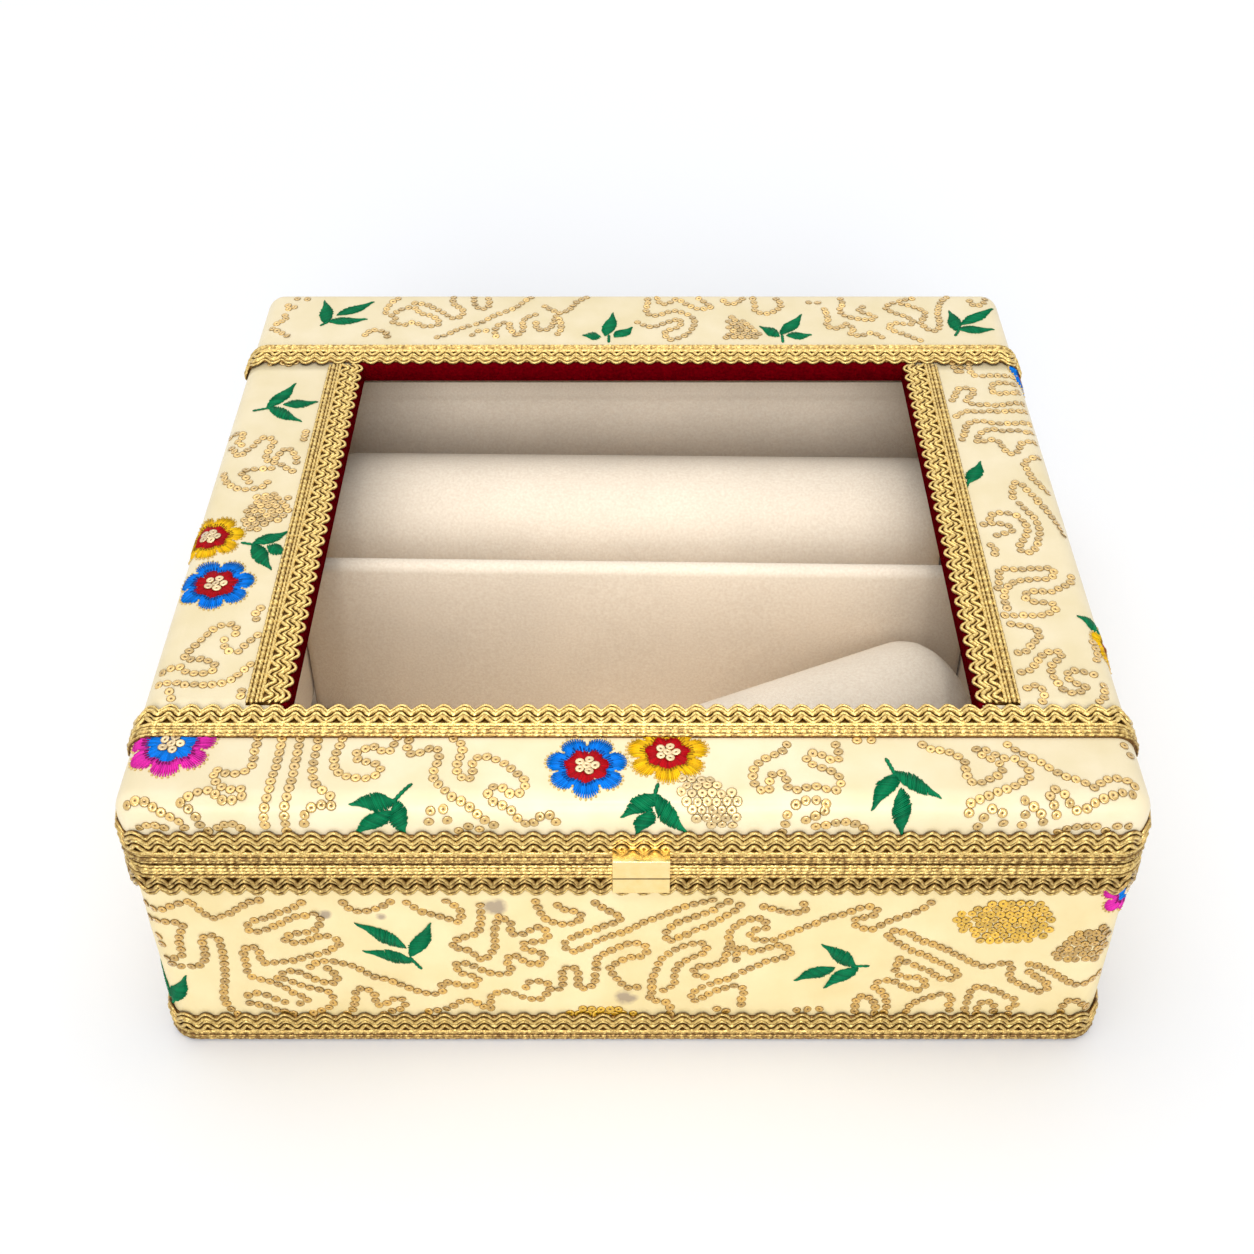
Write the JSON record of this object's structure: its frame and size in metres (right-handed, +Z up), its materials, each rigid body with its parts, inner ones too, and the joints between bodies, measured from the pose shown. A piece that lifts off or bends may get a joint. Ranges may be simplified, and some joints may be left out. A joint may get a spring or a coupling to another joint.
{
  "type": "bangle box",
  "caption": "Square hinged bangle box covered in embroidered cloth with gold braid edges, a window in the lid, a snap clasp, a velvet divider and removable bangle rolls.",
  "frame": {"origin": "middle of the felt under the base, on the surface that the box stands on", "axes": "+Z up, -Y towards the clasp at the front, +X to the right seen from the front"},
  "size_m": [0.2546, 0.2534, 0.0943],
  "materials": {
    "embroidered_cloth": "ivory satin cloth, sewn with gold sequins and coloured flowers",
    "gold_braid": "plaited metallic gold thread",
    "beige_velvet": "short-pile velvet",
    "red_velvet": "short-pile velvet, dark red",
    "felt": "plain felt",
    "foam": "soft foam",
    "board": "bare fibreboard",
    "clear_pane": "clear sheet",
    "polished_brass": "polished"
  },
  "bodies": {
    "base": {"base_felt": "felt", "base_bottom_board": "board", "base_front_board": "board", "base_rear_board": "board", "base_left_board": "board", "base_right_board": "board", "base_cloth": "embroidered_cloth", "base_rim_braid": "gold_braid", "base_foot_braid": "gold_braid", "floor_lining": "beige_velvet", "front_lining": "beige_velvet", "rear_lining": "beige_velvet", "left_end_pad": "beige_velvet", "right_end_pad": "beige_velvet", "divider_board": "board", "divider_velvet": "beige_velvet", "clasp_lower": "polished_brass", "clasp_tongue": "polished_brass", "left_hinge_base_leaf": "polished_brass", "left_hinge_pin": "polished_brass", "left_hinge_base_screw_1": "polished_brass", "left_hinge_base_screw_2": "polished_brass", "right_hinge_base_leaf": "polished_brass", "right_hinge_pin": "polished_brass", "right_hinge_base_screw_1": "polished_brass", "right_hinge_base_screw_2": "polished_brass"},
    "lid": {"lid_front_rail": "board", "lid_rear_rail": "board", "lid_left_rail": "board", "lid_right_rail": "board", "lid_front_skirt": "board", "lid_rear_skirt": "board", "lid_left_skirt": "board", "lid_right_skirt": "board", "lid_front_cloth": "embroidered_cloth", "lid_rear_cloth": "embroidered_cloth", "lid_left_cloth": "embroidered_cloth", "lid_right_cloth": "embroidered_cloth", "lid_rim_braid": "gold_braid", "lid_front_braid": "gold_braid", "lid_rear_braid": "gold_braid", "lid_left_braid": "gold_braid", "lid_right_braid": "gold_braid", "window_reveal": "red_velvet", "window_pane": "clear_pane", "lid_front_lining": "beige_velvet", "lid_rear_lining": "beige_velvet", "lid_left_lining": "beige_velvet", "lid_right_lining": "beige_velvet", "clasp_upper": "polished_brass", "left_hinge_lid_leaf": "polished_brass", "left_hinge_lid_screw_1": "polished_brass", "left_hinge_lid_screw_2": "polished_brass", "right_hinge_lid_leaf": "polished_brass", "right_hinge_lid_screw_1": "polished_brass", "right_hinge_lid_screw_2": "polished_brass"},
    "rear_roll": {"rear_roll_core": "foam", "rear_roll_velvet": "beige_velvet"},
    "front_roll": {"front_roll_core": "foam", "front_roll_velvet": "beige_velvet"}
  },
  "joints": [
    {"name": "lid_hinge", "type": "hinge", "parent": "base", "child": "lid", "pos_m": [0, 0.125, 0.0725], "axis": [-1, 0, 0], "range_deg": [0, 105]},
    {"name": "rear_roll_lift", "type": "slide", "parent": "base", "child": "rear_roll", "axis": [0, 0, 1], "range_m": [0, 0.019]},
    {"name": "front_roll_lift", "type": "slide", "parent": "base", "child": "front_roll", "axis": [0, 0, 1], "range_m": [0, 0.019]}
  ]
}
